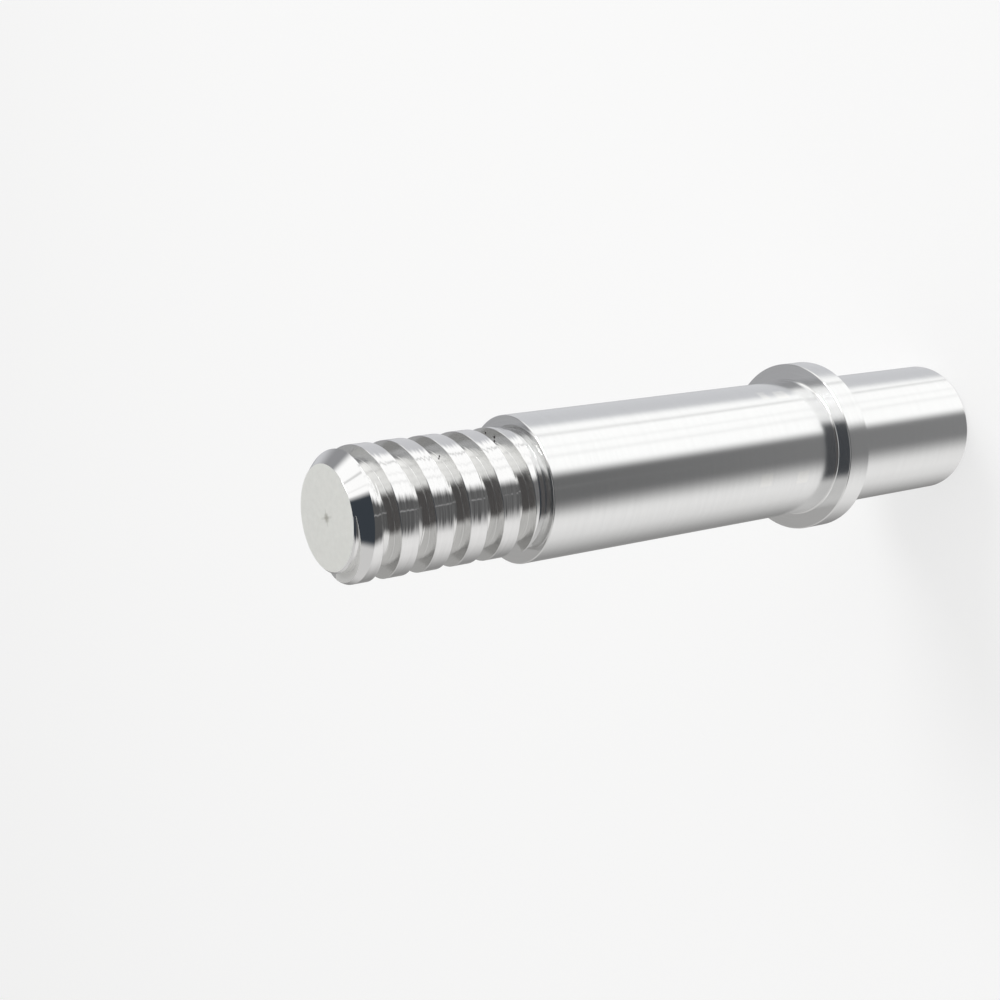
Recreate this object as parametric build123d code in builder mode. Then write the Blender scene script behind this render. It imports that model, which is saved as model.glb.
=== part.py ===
"""Threaded socket shaft, turned from one aluminium bar.

The shaft stands on the rim of its tube end. Z is its axis, +Z points to the threaded end, and the
origin is the centre of the rim. All sizes are in millimetres.
"""
from build123d import *
from math import pi, sqrt
import os

# ---- driving dimensions -------------------------------------------------------------------------
# diameters
body_diameter = 25.4
collar_diameter = 31.75
tube_diameter = 24.7
bore_diameter = 20.7
thread_diameter = 22.0

# lengths along the axis
tube_length = 32.2
collar_width = 4.9
body_length = 65.5
thread_length = 35.0
bore_depth = 34.0

# square thread, right-handed, one start; the angle is where the straight groove end begins
thread_pitch = 6.4
groove_width = 3.2
groove_depth = 2.1
groove_end_angle = 168.0
lead_chamfer = 2.4

# relief groove at the foot of the shoulder
relief_width = 1.3
relief_depth = 0.8

# edge breaks and inside corners
shoulder_break = 0.3
land_break = 0.2
collar_break = 0.3
rim_break = 0.4
collar_fillet = 0.4

# clearances of the thread cutter, and the spare bar that is cut off after the thread
runout_gap = 0.15
cutter_overshoot = 0.6
spare_end = 2.0

# ---- derived sizes ------------------------------------------------------------------------------
body_radius = body_diameter / 2
collar_radius = collar_diameter / 2
tube_radius = tube_diameter / 2
bore_radius = bore_diameter / 2
crest_radius = thread_diameter / 2
root_radius = crest_radius - groove_depth
relief_radius = crest_radius - relief_depth
face_radius = crest_radius - lead_chamfer

collar_bottom = tube_length
collar_top = collar_bottom + collar_width
shoulder_height = collar_top + body_length
relief_top = shoulder_height + relief_width
total_length = shoulder_height + thread_length

# The cutter's section reaches from the root to just outside the crest. Its middle runs on a helix.
cutter_height = groove_depth + cutter_overshoot
cutter_radius = root_radius + cutter_height / 2

# The groove leaves the metal along a straight line, tangent to the helix at its lower end, and
# passes through the end face at its upper end.
runout_length = sqrt(crest_radius**2 - root_radius**2) + cutter_overshoot
runout_drop = runout_length * thread_pitch / (2 * pi * cutter_radius)
groove_bottom = shoulder_height + groove_width / 2 + runout_gap + runout_drop
groove_top = total_length + groove_width
bar_top = groove_top + groove_width + spare_end
trim_radius = crest_radius + cutter_overshoot


def rings(radius, *heights):
    """The edges that run right round the axis, at one radius and the given heights."""
    circles = threaded_shaft.edges().filter_by(GeomType.CIRCLE)
    return [
        edge
        for edge in circles
        for height in heights
        if abs(edge.radius - radius) < 1e-4 and abs(edge.center().Z - height) < 1e-4
    ]


with BuildPart() as threaded_shaft:
    # the turned blank: a half section beside the axis, with the blind bore and some spare bar on top
    with BuildSketch(Plane.XZ):
        with BuildLine():
            Polyline(
                (0, bore_depth),
                (bore_radius, bore_depth),
                (bore_radius, 0),
                (tube_radius, 0),
                (tube_radius, collar_bottom),
                (collar_radius, collar_bottom),
                (collar_radius, collar_top),
                (body_radius, collar_top),
                (body_radius, shoulder_height),
                (relief_radius, shoulder_height),
                (relief_radius, relief_top),
                (crest_radius, relief_top),
                (crest_radius, bar_top),
                (0, bar_top),
                close=True,
            )
        make_face()
    revolve(axis=Axis.Z)

    # edge breaks and inside corners
    chamfer(rings(crest_radius, relief_top), land_break)
    chamfer(rings(body_radius, shoulder_height), shoulder_break)
    chamfer(rings(collar_radius, collar_bottom, collar_top), collar_break)
    chamfer(rings(tube_radius, 0) + rings(bore_radius, 0), rim_break)
    fillet(rings(tube_radius, collar_bottom) + rings(body_radius, collar_top), collar_fillet)

    # the thread groove, from its lower end into the spare bar
    with BuildLine() as helix:
        Helix(thread_pitch, groove_top - groove_bottom, cutter_radius, center=(0, 0, groove_bottom))
    groove_path = helix.line.rotate(Axis.Z, groove_end_angle)
    groove_start = groove_path @ 0
    outwards = Vector(groove_start.X, groove_start.Y, 0)
    with BuildSketch(Plane(groove_start, x_dir=outwards, z_dir=groove_path % 0)) as cutter:
        Rectangle(cutter_height, groove_width)
    sweep(path=groove_path, is_frenet=True, mode=Mode.SUBTRACT)

    # its lower end, where the cutter leaves the metal in a straight line
    extrude(cutter.sketch, amount=-runout_length, mode=Mode.SUBTRACT)

    # the end cut to length, with the lead chamfer
    with BuildSketch(Plane.XZ):
        with BuildLine():
            Polyline(
                (0, total_length),
                (face_radius, total_length),
                (crest_radius, total_length - lead_chamfer),
                (trim_radius, total_length - lead_chamfer),
                (trim_radius, bar_top),
                (0, bar_top),
                close=True,
            )
        make_face()
    revolve(axis=Axis.Z, mode=Mode.SUBTRACT)

threaded_shaft.part.label = "threaded_shaft"

os.makedirs("parts", exist_ok=True)
export_step(threaded_shaft.part, "parts/threaded_shaft.step")

print(f"overall length {total_length:.2f} mm, volume {threaded_shaft.part.volume:.0f} mm3")
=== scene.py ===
"""Threaded socket shaft in bright turned aluminium, standing on the rim of its tube end.

One piece of bar, turned all over: a thin-walled tube end with a blind socket, a collar, a long plain
body, and a coarse square thread with a relief groove at its foot. The shaft is drawn in
millimetres, on the Z axis, and is brought to metres when its shape is finished.
"""
import bmesh
import bpy
from math import cos, hypot, pi, radians, sin, tau
from mathutils import Matrix, Vector


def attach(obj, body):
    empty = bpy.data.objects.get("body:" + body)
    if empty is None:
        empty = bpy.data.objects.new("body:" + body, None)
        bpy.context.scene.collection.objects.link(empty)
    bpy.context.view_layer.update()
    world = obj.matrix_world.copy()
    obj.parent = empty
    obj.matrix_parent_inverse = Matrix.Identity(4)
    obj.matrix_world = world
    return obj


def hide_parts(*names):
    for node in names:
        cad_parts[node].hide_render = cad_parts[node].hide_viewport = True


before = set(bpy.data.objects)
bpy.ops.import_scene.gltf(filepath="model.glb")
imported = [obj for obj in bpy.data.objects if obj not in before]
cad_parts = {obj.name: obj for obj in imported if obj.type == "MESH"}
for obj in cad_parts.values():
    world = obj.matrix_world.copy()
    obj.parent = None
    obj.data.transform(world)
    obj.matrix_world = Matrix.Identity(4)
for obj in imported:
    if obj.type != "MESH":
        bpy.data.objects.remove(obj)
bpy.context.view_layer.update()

# ---- sizes, in millimetres where no other unit is given -----------------------------------------
MM = 0.001

BODY_RADIUS = 12.7
COLLAR_RADIUS = 15.875
TUBE_RADIUS = 12.35
BORE_RADIUS = 10.35
CREST_RADIUS = 11.0
ROOT_RADIUS = 8.9
RELIEF_RADIUS = 10.2
FACE_RADIUS = 8.6

BORE_DEPTH = 34.0
COLLAR_BOTTOM = 32.2
COLLAR_TOP = 37.1
SHOULDER = 102.6
RELIEF_TOP = 103.9
CHAMFER_FOOT = 135.2
END = 137.6

PITCH = 6.4
GROOVE_WIDTH = 3.2
GROOVE_START_ANGLE = 168.0  # degrees round the axis
GROOVE_START = 105.05
RUNOUT_LENGTH = 7.06
RUNOUT_DROP = 0.70

STEPS = 240                 # flats to one turn

# the cutter of the thread: the rounding of the root's corners, how far it breaks the crest's edges, and
# how far it stands out of the metal
ROOT_CORNER = 0.10
CREST_BREAK = 0.06
CUTTER_OVERHANG = 0.6

# roundings of the turned profile: the corners, their radius and their segments
ROUNDINGS = (
    (("rim inside", "rim outside"), 0.4, 4),
    (("tube at collar", "body at collar"), 0.4, 4),
    (("collar lower edge", "collar upper edge"), 0.2, 4),
    (("shoulder edge",), 0.2, 4),
    (("first land edge",), 0.08, 3),
    (("shoulder corner", "relief corner"), 0.08, 3),
    (("socket floor edge",), 0.5, 4),
    (("chamfer foot", "chamfer top"), 0.03, 2),
)

# prints of the chuck jaws on the body: degrees round the axis, height, and half of how tall they are
JAW_PRINTS = (
    (-38.0, 49.2, 0.9),
    (-39.5, 45.0, 1.5),
    (-115.0, 54.9, 1.4),
    (-117.5, 45.7, 1.4),
)
JAW_PRINT_HALF_WIDTH = 5.5  # degrees

# pits in the thread: place and radius, round which each fades out
PITS = (
    ((9.99, -1.56, 106.71), 0.22),
    ((9.02, -3.65, 106.47), 0.28),
    ((8.35, -3.46, 106.46), 0.22),
    ((8.70, -5.33, 102.83), 0.22),
    ((7.0, -5.85, 118.95), 0.20),
)

SHARP_EDGE = 32             # degrees between two faces, from which their edge stays sharp
SAME_POINT = 0.0001         # points of the turned blank that are nearer than this are one
SAME_CUT_POINT = 0.001      # and those that the thread's cut leaves
SLIVER = 0.0005             # faces thinner than this are closed up
NEAR = 0.02                 # how near a face's middle has to be to count as on a surface

# scales of the tool's fine and broad marks, round the part and along it
FINE_ROUND, FINE_ALONG = 60.0, 6000.0
BROAD_ROUND, BROAD_ALONG = 90.0, 2600.0

FLOOR_RADIUS = 1.5          # metres
FLOOR_GLOW = 0.68           # share of the paper's brightness that doesn't depend on the light


# ---- shapes -------------------------------------------------------------------------------------
def outline(bm, points, closed=False):
    """Edges through (radius, height) points, in the half plane beside the axis."""
    verts = [bm.verts.new((radius, 0, height)) for radius, height in points]
    pairs = list(zip(verts, verts[1:]))
    if closed:
        pairs.append((verts[-1], verts[0]))
    for pair in pairs:
        bm.edges.new(pair)
    return verts


def round_corners(bm, corners, radius, segments):
    """Round the given corners of an outline."""
    bmesh.ops.bevel(
        bm, geom=corners, offset=radius, offset_type="OFFSET", affect="VERTICES",
        segments=segments, profile=0.5, clamp_overlap=False, material=-1,
    )


def turn_blank():
    """The bar as it comes off the lathe, before its thread is cut."""
    bm = bmesh.new()
    points = {
        "socket floor centre": (0, BORE_DEPTH),
        "socket floor edge": (BORE_RADIUS, BORE_DEPTH),
        "rim inside": (BORE_RADIUS, 0),
        "rim outside": (TUBE_RADIUS, 0),
        "tube at collar": (TUBE_RADIUS, COLLAR_BOTTOM),
        "collar lower edge": (COLLAR_RADIUS, COLLAR_BOTTOM),
        "collar upper edge": (COLLAR_RADIUS, COLLAR_TOP),
        "body at collar": (BODY_RADIUS, COLLAR_TOP),
        "shoulder edge": (BODY_RADIUS, SHOULDER),
        "shoulder corner": (RELIEF_RADIUS, SHOULDER),
        "relief corner": (RELIEF_RADIUS, RELIEF_TOP),
        "first land edge": (CREST_RADIUS, RELIEF_TOP),
        "chamfer foot": (CREST_RADIUS, CHAMFER_FOOT),
        "chamfer top": (FACE_RADIUS, END),
        "end centre": (0, END),
    }
    corner = dict(zip(points, outline(bm, points.values())))
    for names, radius, segments in ROUNDINGS:
        round_corners(bm, [corner[name] for name in names], radius, segments)
    bmesh.ops.spin(
        bm, geom=bm.verts[:] + bm.edges[:], cent=(0, 0, 0), axis=(0, 0, 1), dvec=(0, 0, 0),
        angle=tau, steps=STEPS, use_merge=True, use_normal_flip=False, use_duplicate=False,
    )
    bmesh.ops.remove_doubles(bm, verts=bm.verts, dist=SAME_POINT)
    bmesh.ops.recalc_face_normals(bm, faces=bm.faces)
    return bm


def groove_cutter():
    """The space the thread tool sweeps: a helix, with a straight run out of the metal at its foot."""
    bm = bmesh.new()
    half = GROOVE_WIDTH / 2
    ring = outline(bm, [
        (ROOT_RADIUS, -half),
        (CREST_RADIUS - CREST_BREAK, -half),
        (CREST_RADIUS, -half - CREST_BREAK),
        (CREST_RADIUS + CUTTER_OVERHANG, -half - CREST_BREAK),
        (CREST_RADIUS + CUTTER_OVERHANG, half + CREST_BREAK),
        (CREST_RADIUS, half + CREST_BREAK),
        (CREST_RADIUS - CREST_BREAK, half),
        (ROOT_RADIUS, half),
    ], closed=True)
    round_corners(bm, [ring[0], ring[-1]], ROOT_CORNER, 3)
    bmesh.ops.translate(bm, verts=bm.verts, vec=(0, 0, GROOVE_START))
    to_start = Matrix.Rotation(radians(GROOVE_START_ANGLE), 3, "Z")
    bmesh.ops.rotate(bm, verts=bm.verts, cent=(0, 0, 0), matrix=to_start)
    first_ring = bm.edges[:]
    steps = round((END + GROOVE_WIDTH - GROOVE_START) / PITCH * STEPS)
    bmesh.ops.spin(
        bm, geom=bm.verts[:] + bm.edges[:], cent=(0, 0, 0), axis=(0, 0, 1),
        dvec=(0, 0, PITCH / STEPS), angle=radians(steps * 360 / STEPS), steps=steps,
        use_merge=False, use_normal_flip=False, use_duplicate=False,
    )
    made = bmesh.ops.extrude_edge_only(bm, edges=first_ring)["geom"]
    heading = radians(GROOVE_START_ANGLE) - pi / 2
    bmesh.ops.translate(
        bm, verts=[item for item in made if isinstance(item, bmesh.types.BMVert)],
        vec=(RUNOUT_LENGTH * cos(heading), RUNOUT_LENGTH * sin(heading), -RUNOUT_DROP),
    )
    bmesh.ops.holes_fill(bm, edges=[edge for edge in bm.edges if edge.is_boundary], sides=0)
    bmesh.ops.recalc_face_normals(bm, faces=bm.faces)
    return bm


def as_object(name, bm):
    """A new object with the shape that is in bm, which is freed."""
    mesh = bpy.data.meshes.new(name)
    bm.to_mesh(mesh)
    bm.free()
    made = bpy.data.objects.new(name, mesh)
    bpy.context.scene.collection.objects.link(made)
    return made


def settle(maker, name):
    """Apply the modifiers of a helper object, and return its shape as a new mesh."""
    ready = maker.evaluated_get(bpy.context.evaluated_depsgraph_get())
    mesh = bpy.data.meshes.new_from_object(ready)
    mesh.name = name
    bpy.data.meshes.remove(maker.data)
    return mesh


# ---- finishes -----------------------------------------------------------------------------------
class Socket:
    """An output of a node. Arithmetic on it adds Math nodes."""

    def __init__(self, graph, output):
        self.graph = graph
        self.output = output

    def math(self, operation, *values):
        inputs = dict(enumerate(values))
        return self.graph.node("Math", {"operation": operation}, inputs)

    def __add__(self, other):
        return self.math("ADD", self, other)

    def __radd__(self, other):
        return self.math("ADD", other, self)

    def __sub__(self, other):
        return self.math("SUBTRACT", self, other)

    def __rsub__(self, other):
        return self.math("SUBTRACT", other, self)

    def __mul__(self, other):
        return self.math("MULTIPLY", self, other)

    def __rmul__(self, other):
        return self.math("MULTIPLY", other, self)

    def __truediv__(self, other):
        return self.math("DIVIDE", self, other)

    def __rtruediv__(self, other):
        return self.math("DIVIDE", other, self)


class Graph:
    """The node tree of a material or of the world."""

    def __init__(self, tree):
        self.tree = tree
        tree.nodes.clear()

    def node(self, kind, settings=None, inputs=None, output=0):
        """Add a node. Its settings are made first, then its inputs take their values or links."""
        node = self.tree.nodes.new("ShaderNode" + kind)
        for name, value in (settings or {}).items():
            if name == "stops":
                elements = node.color_ramp.elements
                while len(elements) < len(value):
                    elements.new(0.5)
                for element, (position, grey) in zip(elements, value):
                    element.position = position
                    element.color = (grey, grey, grey, 1)
            else:
                setattr(node, name, value)
        for key, value in (inputs or {}).items():
            if isinstance(value, Socket):
                self.tree.links.new(value.output, node.inputs[key])
            else:
                node.inputs[key].default_value = value
        return Socket(self, node.outputs[output]) if node.outputs else None

    def step(self, value, low, high):
        """0 below low, 1 above high, and smooth between."""
        return self.node(
            "MapRange", {"interpolation_type": "SMOOTHSTEP"},
            {"Value": value, "From Min": low, "From Max": high, "To Min": 0.0, "To Max": 1.0},
        )

    def patch(self, value, half):
        """1 near zero, with a soft fall to 0 round half on both sides."""
        away = self.node("Math", {"operation": "ABSOLUTE"}, {0: value})
        return 1.0 - self.step(away, half * 0.8, half * 1.15)

    def linear(self, value, low, high, to_low, to_high):
        """Bring the range from low to high to another one, straight between, and hold the ends."""
        return self.node(
            "MapRange", None,
            {"Value": value, "From Min": low, "From Max": high, "To Min": to_low, "To Max": to_high},
        )

    def ramp(self, value, low, high, stops):
        """Grey levels at given values, straight between them."""
        placed = [((at - low) / (high - low), level) for at, level in stops]
        return self.node("ValToRGB", {"stops": placed}, {0: self.linear(value, low, high, 0.0, 1.0)})

    def mix(self, factor, first, second):
        """Blend two colours. They are the node's inputs 6 and 7, and its output 2."""
        return self.node("Mix", {"data_type": "RGBA"}, {0: factor, 6: first, 7: second}, output=2)

    def vector(self, operation, *values, output=0):
        """Vector Math on directions or places."""
        return self.node("VectorMath", {"operation": operation}, dict(enumerate(values)), output=output)

    def scaled(self, vector, amount):
        return self.node("VectorMath", {"operation": "SCALE"}, {0: vector, "Scale": amount})

    def axes(self, vector):
        split = self.node("SeparateXYZ", None, {0: vector}).output.node
        return [Socket(self, output) for output in split.outputs]

    def join(self, x, y, z):
        return self.node("CombineXYZ", None, {0: x, 1: y, 2: z})

    def noise(self, vector, scale, detail=2.0, roughness=0.5):
        return self.node(
            "TexNoise", {"noise_dimensions": "3D"},
            {"Vector": vector, "Scale": scale, "Detail": detail, "Roughness": roughness},
        )

    def spread(self, noise, low, high):
        """Bring a noise, which keeps near its middle, to the range from low to high."""
        return self.linear(noise, 0.3, 0.7, low, high)


def aluminium(name, colour, roughness, anisotropic, streak, rings, waves, flutter, marks=None):
    """A turned aluminium finish.

    The marks of the tool run round the axis. Streak is how far they change the roughness. Rings and
    waves are how far the fine and the broad ones tilt the surface along the axis, and flutter is how
    far the broad ones tilt it sideways. Marks adds what else is on the surface.
    """
    material = bpy.data.materials.new(name)
    material.use_nodes = True
    graph = Graph(material.node_tree)
    place = graph.node("TexCoord", output="Object")
    x, y, z = graph.axes(place)
    radius = graph.node("Math", {"operation": "SQRT"}, {0: x * x + y * y})
    fine_place = graph.join(x * FINE_ROUND, y * FINE_ROUND, (z + radius) * FINE_ALONG)
    fine = graph.noise(fine_place, 1.0, 3.0, 0.6)
    broad_place = graph.join(x * BROAD_ROUND, y * BROAD_ROUND, (z + radius) * BROAD_ALONG)
    broad = graph.noise(broad_place, 1.0, 2.0, 0.5)
    rough = graph.spread(fine * 0.6 + broad * 0.4, roughness - streak, roughness + streak)
    normal = graph.node("NewGeometry", output="Normal")
    round_way = graph.vector("CROSS_PRODUCT", (0.0, 0.0, 1.0), normal)
    long_way = graph.vector("CROSS_PRODUCT", round_way, normal)
    side = graph.scaled(round_way, (broad - 0.5) * flutter)
    tilt = graph.scaled(long_way, (fine - 0.5) * rings + (broad - 0.5) * waves)
    bent = graph.vector("NORMALIZE", graph.vector("ADD", normal, graph.vector("ADD", side, tilt)))
    darker = tuple(channel * 0.97 for channel in colour)
    tone = graph.mix(graph.spread(broad, 0.0, 1.0), colour + (1.0,), darker + (1.0,))
    if marks:
        tone, rough = marks(graph, x, y, z, tone, rough)
    surface = graph.node("BsdfPrincipled", None, {
        "Base Color": tone, "Metallic": 1.0, "Roughness": rough,
        "Anisotropic": anisotropic, "Anisotropic Rotation": 0.25, "Normal": bent,
    })
    graph.node("OutputMaterial", None, {"Surface": surface})
    return material


def end_marks(graph, x, y, z, tone, rough):
    """Even matt grain, and the small dull cross that the parting tool left in the middle."""
    def arm(along, beside, length, width):
        """A soft bar in the middle, with half its length and half its width in millimetres."""
        lengthwise = 1.0 - graph.step(along * along, 0.0, (length * MM) ** 2)
        return lengthwise * (1.0 - graph.step(beside * beside, 0.0, (width * MM) ** 2))

    grain = graph.spread(graph.noise(graph.join(x, y, z), 900.0, 3.0, 0.6), 0.0, 1.0)
    even = graph.mix(grain, (0.94, 0.945, 0.915, 1.0), (0.90, 0.905, 0.875, 1.0))
    # a soft spot, and two thin bars that cross on it
    spot = arm(x, y, 0.9, 0.9) * 0.6 + arm(x, y, 1.7, 0.28) * 0.35 + arm(y, x, 2.2, 0.28) * 0.35
    dull = (0.55, 0.54, 0.50, 1.0)
    return graph.mix(spot, even, dull), rough


def jaw_marks(graph, x, y, z, tone, rough):
    """Faint prints of the chuck jaws on the body, above the collar."""
    angle = graph.node("Math", {"operation": "ARCTAN2"}, {0: y, 1: x}) * (180 / pi)
    prints = 0.0
    for at, height, tall in JAW_PRINTS:
        across = graph.patch(angle - at, JAW_PRINT_HALF_WIDTH)
        prints = prints + across * graph.patch(z / MM - height, tall)
    rubbed = (0.97, 0.97, 0.96, 1.0)
    return graph.mix(prints, tone, rubbed), rough + prints * 0.06


def pits(graph, x, y, z, tone, rough):
    """A few tiny dark pits in the thread."""
    spots = 0.0
    for place, size in PITS:
        centre = tuple(part * MM for part in place)
        away = graph.vector("DISTANCE", graph.join(x, y, z), centre, output="Value")
        spots = spots + (1.0 - graph.step(away, size * 0.5 * MM, size * 1.3 * MM))
    hollow = (0.06, 0.05, 0.05, 1.0)
    return graph.mix(spots, tone, hollow), rough + spots * 0.3


# name: colour, roughness, anisotropic, streak, rings, waves, flutter, marks
FINISH_VALUES = {
    "turned_satin": ((0.90, 0.905, 0.91), 0.17, 0.6, 0.006, 0.014, 0.006, 0.008, jaw_marks),
    "faced_satin": ((0.86, 0.86, 0.86), 0.11, 0.5, 0.02, 0.03, 0.01, 0.02),
    "faced_end": ((0.94, 0.945, 0.915), 0.56, 0.0, 0.01, 0.0, 0.0, 0.0, end_marks),
    "polished_chamfer": ((0.88, 0.88, 0.885), 0.06, 0.3, 0.01, 0.01, 0.01, 0.01),
    "last_turn": ((0.90, 0.90, 0.885), 0.48, 0.0, 0.02, 0.03, 0.03, 0.03),
    "thread_crest": ((0.89, 0.89, 0.895), 0.08, 0.4, 0.02, 0.10, 0.30, 0.08),
    "thread_root": ((0.86, 0.86, 0.86), 0.08, 0.5, 0.02, 0.10, 0.30, 0.10, pits),
    "thread_side": ((0.80, 0.80, 0.79), 0.18, 0.4, 0.03, 0.12, 0.08, 0.05, pits),
    "bored_wall": ((0.80, 0.80, 0.80), 0.22, 0.6, 0.05, 0.10, 0.03, 0.03),
}
FINISHES = {name: aluminium(name, *values) for name, values in FINISH_VALUES.items()}


def finish_of(centre, normal):
    """The finish of the face at a place, in millimetres."""
    radius = hypot(centre.x, centre.y)
    flat = abs(normal.z) > 0.9
    sloping = abs(normal.z) > 0.35
    in_socket = radius < BORE_RADIUS + NEAR and centre.z < BORE_DEPTH + NEAR
    if in_socket:
        return "bored_wall"
    if centre.z > END - NEAR and flat:
        return "faced_end"
    if centre.z > CHAMFER_FOOT and flat:
        return "last_turn"
    if centre.z > CHAMFER_FOOT and normal.z > 0.5:
        return "polished_chamfer"
    if centre.z > RELIEF_TOP and flat:
        return "thread_side"
    if centre.z > RELIEF_TOP and radius < CREST_RADIUS - NEAR:
        return "thread_root"
    if centre.z > RELIEF_TOP:
        return "thread_crest"
    if sloping:
        return "faced_satin"
    return "turned_satin"


def make_shaft():
    """Turn the blank, cut the thread, give each face its finish, and hide the CAD part it replaces."""
    blank = as_object("blank", turn_blank())
    tool = as_object("tool", groove_cutter())
    cut = blank.modifiers.new("thread", "BOOLEAN")
    cut.operation = "DIFFERENCE"
    cut.solver = "EXACT"
    cut.object = tool
    mesh = settle(blank, "cut_blank")
    bpy.data.meshes.remove(tool.data)

    bm = bmesh.new()
    bm.from_mesh(mesh)
    bmesh.ops.remove_doubles(bm, verts=bm.verts, dist=SAME_CUT_POINT)
    bmesh.ops.dissolve_degenerate(bm, edges=bm.edges, dist=SLIVER)
    names = list(FINISHES)
    for face in bm.faces:
        face.material_index = names.index(finish_of(face.calc_center_median(), face.normal))
        face.smooth = True
    for edge in bm.edges:
        ahead, behind = edge.link_faces
        one_finish = ahead.material_index == behind.material_index
        edge.smooth = one_finish and edge.calc_face_angle() < radians(SHARP_EDGE)
    bmesh.ops.scale(bm, vec=(MM, MM, MM), verts=bm.verts)

    # flat and round faces keep their own direction, and only the small roundings between them blend
    shaded = as_object("shaded", bm)
    for finish in FINISHES.values():
        shaded.data.materials.append(finish)
    shading = shaded.modifiers.new("shading", "WEIGHTED_NORMAL")
    shading.mode = "FACE_AREA"
    shading.weight = 100
    shading.keep_sharp = True
    mesh = settle(shaded, "turned_shaft")
    shaft = bpy.data.objects.new("turned_shaft", mesh)
    bpy.context.scene.collection.objects.link(shaft)
    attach(shaft, "root")
    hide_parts("threaded_shaft")


# ---- floor and light ----------------------------------------------------------------------------
def make_floor():
    """Pale paper under the shaft. It is clear from below, and the metal doesn't mirror it."""
    bm = bmesh.new()
    bmesh.ops.create_circle(bm, cap_ends=True, cap_tris=False, segments=96, radius=FLOOR_RADIUS)
    bmesh.ops.translate(bm, verts=bm.verts, vec=(0, 0, -0.1 * MM))
    floor = as_object("floor", bm)
    material = bpy.data.materials.new("floor")
    material.use_nodes = True
    graph = Graph(material.node_tree)
    glossy = graph.node("LightPath", output="Is Glossy Ray")
    paper = graph.node("BsdfDiffuse", None, {"Color": (0.93, 0.93, 0.93, 1)})
    glow = graph.node("Emission", None, {"Color": (1, 1, 1, 1), "Strength": 1.0})
    below = graph.node("NewGeometry", output="Backfacing")
    seen = graph.node("MixShader", None, {0: FLOOR_GLOW, 1: paper, 2: glow})
    clear = graph.node("BsdfTransparent")
    unseen = graph.node("Math", {"operation": "MAXIMUM"}, {0: glossy, 1: below})
    surface = graph.node("MixShader", None, {0: unseen, 1: seen, 2: clear})
    graph.node("OutputMaterial", None, {"Surface": surface})
    floor.data.materials.append(material)


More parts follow.
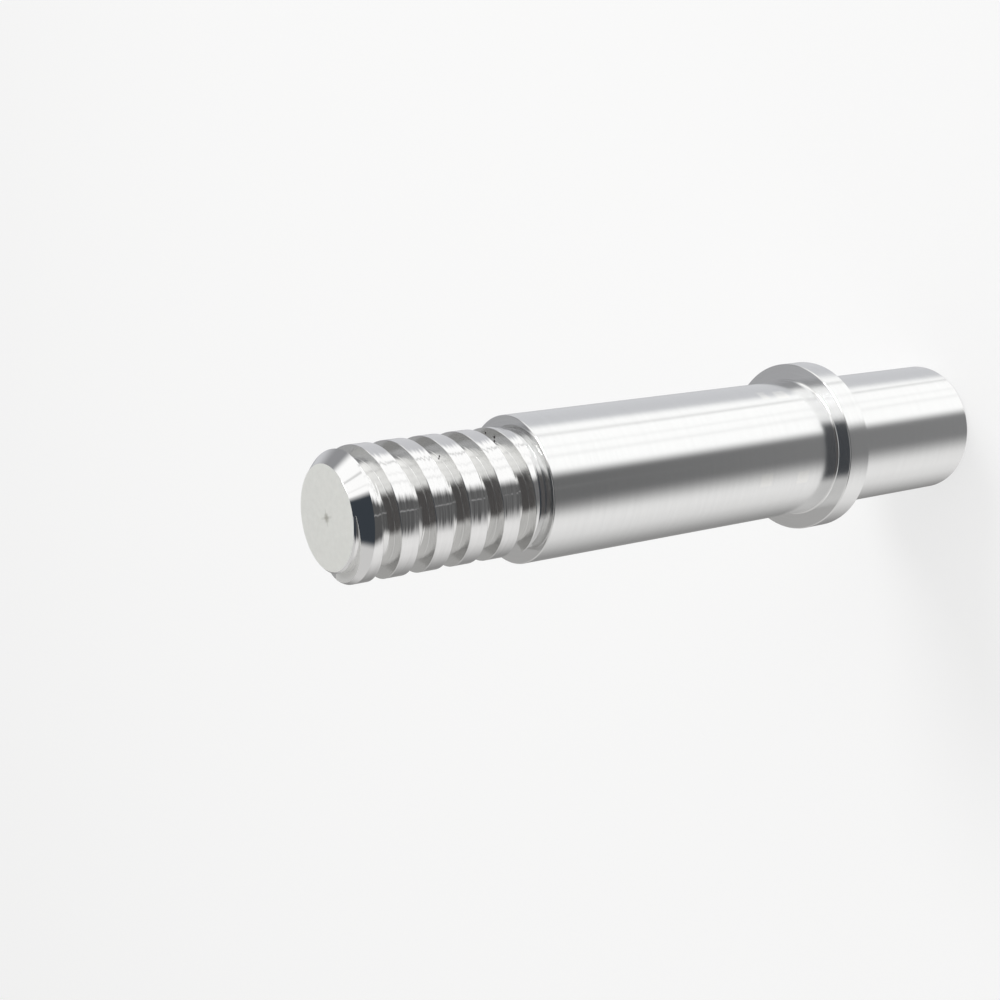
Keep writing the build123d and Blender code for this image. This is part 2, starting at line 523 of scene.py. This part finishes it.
def make_world():
    """The studio round the shaft: a dark opening in front, a bright wall beside it, and grey walls.

    The first output of Texture Coordinate is the direction. Turn is the angle round the shaft from its
    front, and lift the angle above the level. Left and right are as seen from the shaft, looking out.
    """
    world = bpy.data.worlds.new("studio")
    bpy.context.scene.world = world
    world.use_nodes = True
    graph = Graph(world.node_tree)
    camera_ray = graph.node("LightPath", output="Is Camera Ray")
    x, y, z = graph.axes(graph.node("TexCoord"))
    turn = graph.node("Math", {"operation": "ARCTAN2"}, {0: x * -1.0, 1: y * -1.0}) * (180 / pi)
    lift = graph.node("Math", {"operation": "ARCSINE"}, {0: z}) * (180 / pi)

    # the edges of the opening and of the bright wall lean a little with height; a ramp holds no more
    # than 1, so the two for the opening are in hundreds of degrees
    high = graph.step(lift, -10.0, 15.0)
    low = 1.0 - graph.step(lift, -52.0, -40.0)
    left_lean = graph.ramp(lift, -90, 90, [(-32, 0.135), (34, 0.25), (58, 0.41)])
    right_lean = graph.ramp(lift, -90, 90, [(-36, 0.43), (-22, 0.53), (34, 0.61), (50, 0.73)])
    opening_left = turn + left_lean * 100.0 + low * 5.0
    opening_right = turn - right_lean * 100.0
    soft = graph.linear(lift, -38.0, -28.0, 20.0, 10.0)
    opened = graph.step(opening_left, -9.0, 9.0) * (1.0 - graph.step(opening_right, soft * -1.0, soft))
    wall_left = turn + graph.linear(lift, -30.0, 30.0, 100.0, 113.0)
    walled = graph.step(wall_left, -8.0, 8.0) * (1.0 - graph.step(turn, -5.0, 20.0))

    # the grey walls, a little cool on the left and a little warm on the right
    right_low = graph.ramp(turn - low * 12.0, -180, 180, [
        (0, 0.70), (70, 0.83), (92, 0.74), (110, 0.56), (130, 0.36), (148, 0.26), (165, 0.30), (180, 0.40),
    ])
    right_high = graph.ramp(turn, -180, 180, [(130, 0.64), (150, 0.54), (170, 0.40)])
    left_low = graph.ramp(turn, -180, 180, [
        (-180, 0.22), (-173, 0.40), (-165, 0.60), (-150, 0.65), (-120, 0.62),
    ])
    left_high = graph.ramp(turn, -180, 180, [(-180, 0.40), (-150, 0.40), (-135, 0.31), (-110, 0.30)])
    left = graph.scaled((0.985, 0.992, 1.02), left_low * (1.0 - high) + left_high * high)
    right = graph.scaled((1.01, 1.0, 0.985), right_low * (1.0 - high) + right_high * high)
    plain = graph.mix(graph.step(turn, -5.0, 5.0), left, right)

    # the bright wall has three seams, and the dark opening a thin slit of light
    seam = graph.ramp(turn + low * 10.0, -100, 0, [
        (-84, 0.0), (-80, 0.45), (-77, 0.0),
        (-60, 0.0), (-57, 0.14), (-54, 0.0),
        (-45, 0.0), (-41, 0.16), (-37, 0.0),
    ])
    bright = graph.scaled((1.0, 0.998, 0.985), 1.12 - seam)
    dark_low = graph.linear(lift, -52.0, -28.0, 0.24, 0.094)
    dark_high = (0.097, 0.092, 0.091, 1)
    dark_top = (0.042, 0.050, 0.060, 1)
    dark = graph.mix(high, graph.join(dark_low, dark_low, dark_low), dark_high)
    dark = graph.mix(graph.step(lift, 40.0, 48.0), dark, dark_top)
    slit = graph.ramp(turn, -180, 180, [(7.0, 0.0), (7.6, 0.5), (8.4, 0.5), (9.0, 0.0)])
    slit = slit * graph.step(lift, -33.5, -31.5) * (1.0 - graph.step(lift, -10.0, 0.0))
    slit_light = (0.75, 0.75, 0.75, 1)
    dark = graph.mix(slit, dark, slit_light)
    level = graph.mix(opened, graph.mix(walled, plain, bright), dark)

    # a bright card high over the back wall, and a grey ceiling
    behind = graph.step(graph.node("Math", {"operation": "ABSOLUTE"}, {0: turn}), 110.0, 125.0)
    card = (1.02, 1.02, 1.0, 1)
    ceiling = (0.66, 0.66, 0.65, 1)
    level = graph.mix(graph.step(lift, 46.0, 56.0) * behind, level, card)
    level = graph.mix(graph.step(lift, 68.0, 78.0), level, ceiling)

    # seen straight on, the ground behind the shaft is white
    ground = (1, 1, 1, 1)
    light = graph.mix(camera_ray, level, ground)
    surface = graph.node("Background", None, {"Color": light, "Strength": 1.0})
    graph.node("OutputWorld", None, {"Surface": surface})


def add_lamp(name, place, target, size, watts):
    """A round soft lamp that points at its target."""
    data = bpy.data.lights.new(name, "AREA")
    data.shape = "DISK"
    data.size = size
    data.energy = watts
    lamp = bpy.data.objects.new(name, data)
    bpy.context.scene.collection.objects.link(lamp)
    lamp.location = place
    lamp.rotation_euler = (Vector(target) - Vector(place)).to_track_quat("-Z", "Y").to_euler()


def add_camera():
    """A camera in front of the shaft and above it, turned so that the axis lies across its view."""
    data = bpy.data.cameras.new("camera")
    data.lens = 56.561
    data.sensor_width = 36.0
    data.sensor_fit = "HORIZONTAL"
    data.clip_start = 0.01
    camera = bpy.data.objects.new("camera", data)
    bpy.context.scene.collection.objects.link(camera)
    right = Vector((-0.15220, -0.54846, -0.82221))
    up = Vector((0.98833, -0.07982, -0.12971))
    back = Vector((0.00551, -0.83236, 0.55421))
    turned = Matrix((right, up, back)).transposed().to_4x4()
    place = (0, -0.219841, 0.251202)
    camera.matrix_world = Matrix.Translation(place) @ turned
    bpy.context.scene.camera = camera


make_shaft()
make_floor()
make_world()
add_lamp("key", place=(0.38, 0.05, 0.80), target=(0, 0, 0.1), size=0.25, watts=2.4)
add_camera()

bpy.context.scene.view_settings.view_transform = "Standard"
